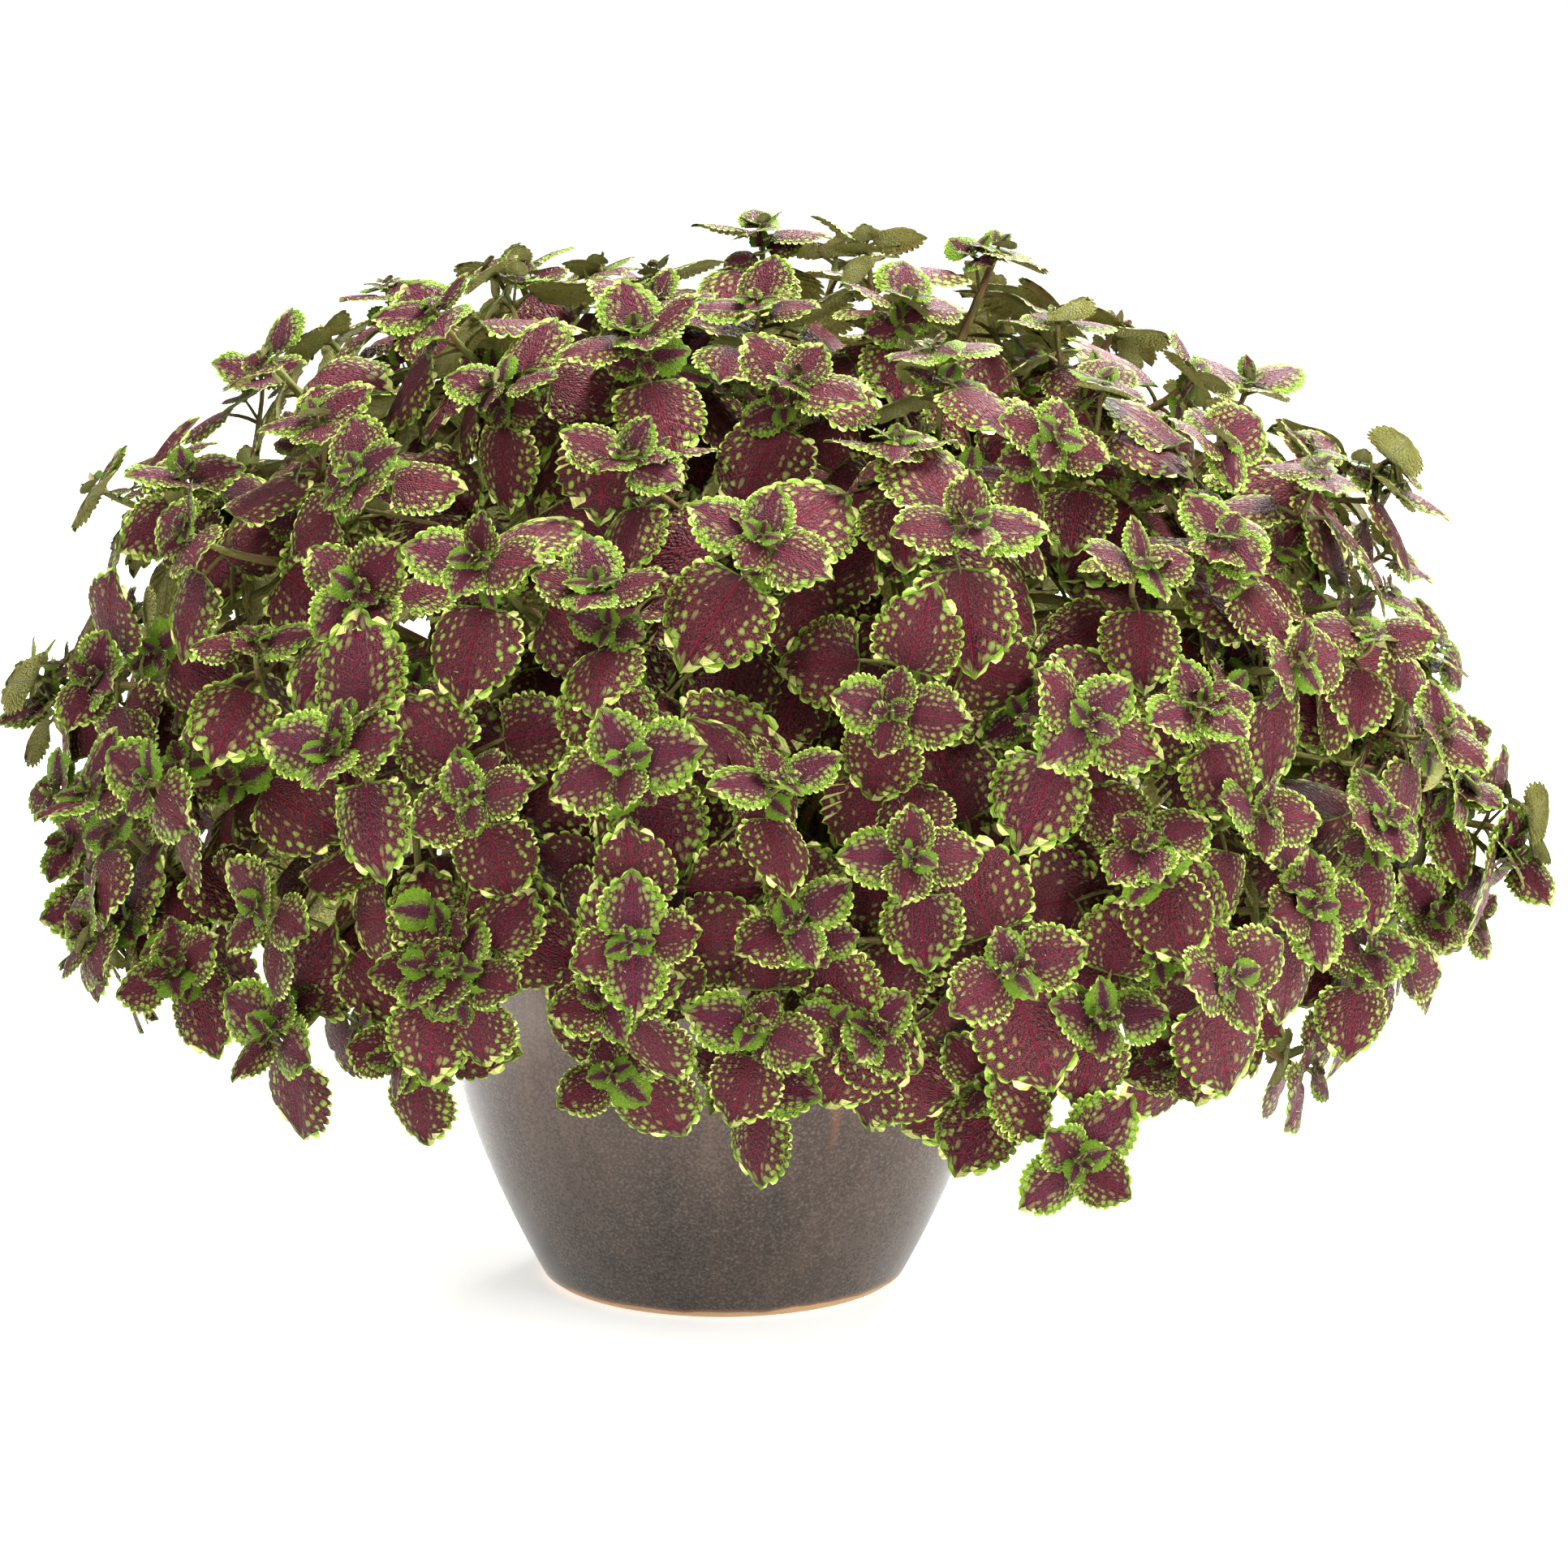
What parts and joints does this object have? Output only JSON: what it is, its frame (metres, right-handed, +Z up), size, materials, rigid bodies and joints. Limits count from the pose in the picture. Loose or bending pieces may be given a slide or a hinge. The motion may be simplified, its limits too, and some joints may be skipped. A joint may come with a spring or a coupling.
{
  "type": "potted coleus",
  "caption": "Bushy coleus houseplant: a wide round mound of toothed, two-tone leaves on upright and arching stems, standing in a round glazed stoneware planter filled with potting mix.",
  "frame": {"origin": "on the floor, at the centre of the pot's round foot", "axes": "+Z up along the pot's axis; +X to the right seen from the front, the side to which the crown reaches a little further; +Y to the back"},
  "size_m": [0.8511, 0.7461, 0.5867],
  "materials": {
    "pot_glaze": "satin",
    "potting_mix": "matte",
    "leaf": "satin"
  },
  "bodies": {
    "root": {"pot": "pot_glaze", "soil": "potting_mix", "leafy_stem_01": "leaf", "leafy_stem_02": "leaf", "leafy_stem_03": "leaf", "leafy_stem_04": "leaf", "leafy_stem_05": "leaf", "leafy_stem_06": "leaf", "leafy_stem_07": "leaf", "leafy_stem_08": "leaf", "leafy_stem_09": "leaf", "leafy_stem_10": "leaf", "leafy_stem_11": "leaf", "leafy_stem_12": "leaf", "leafy_stem_13": "leaf", "leafy_stem_14": "leaf", "leafy_stem_15": "leaf", "leafy_stem_16": "leaf", "leafy_stem_17": "leaf", "leafy_stem_18": "leaf", "leafy_stem_19": "leaf", "leafy_stem_20": "leaf", "leafy_stem_21": "leaf", "leafy_stem_22": "leaf"}
  },
  "joints": []
}
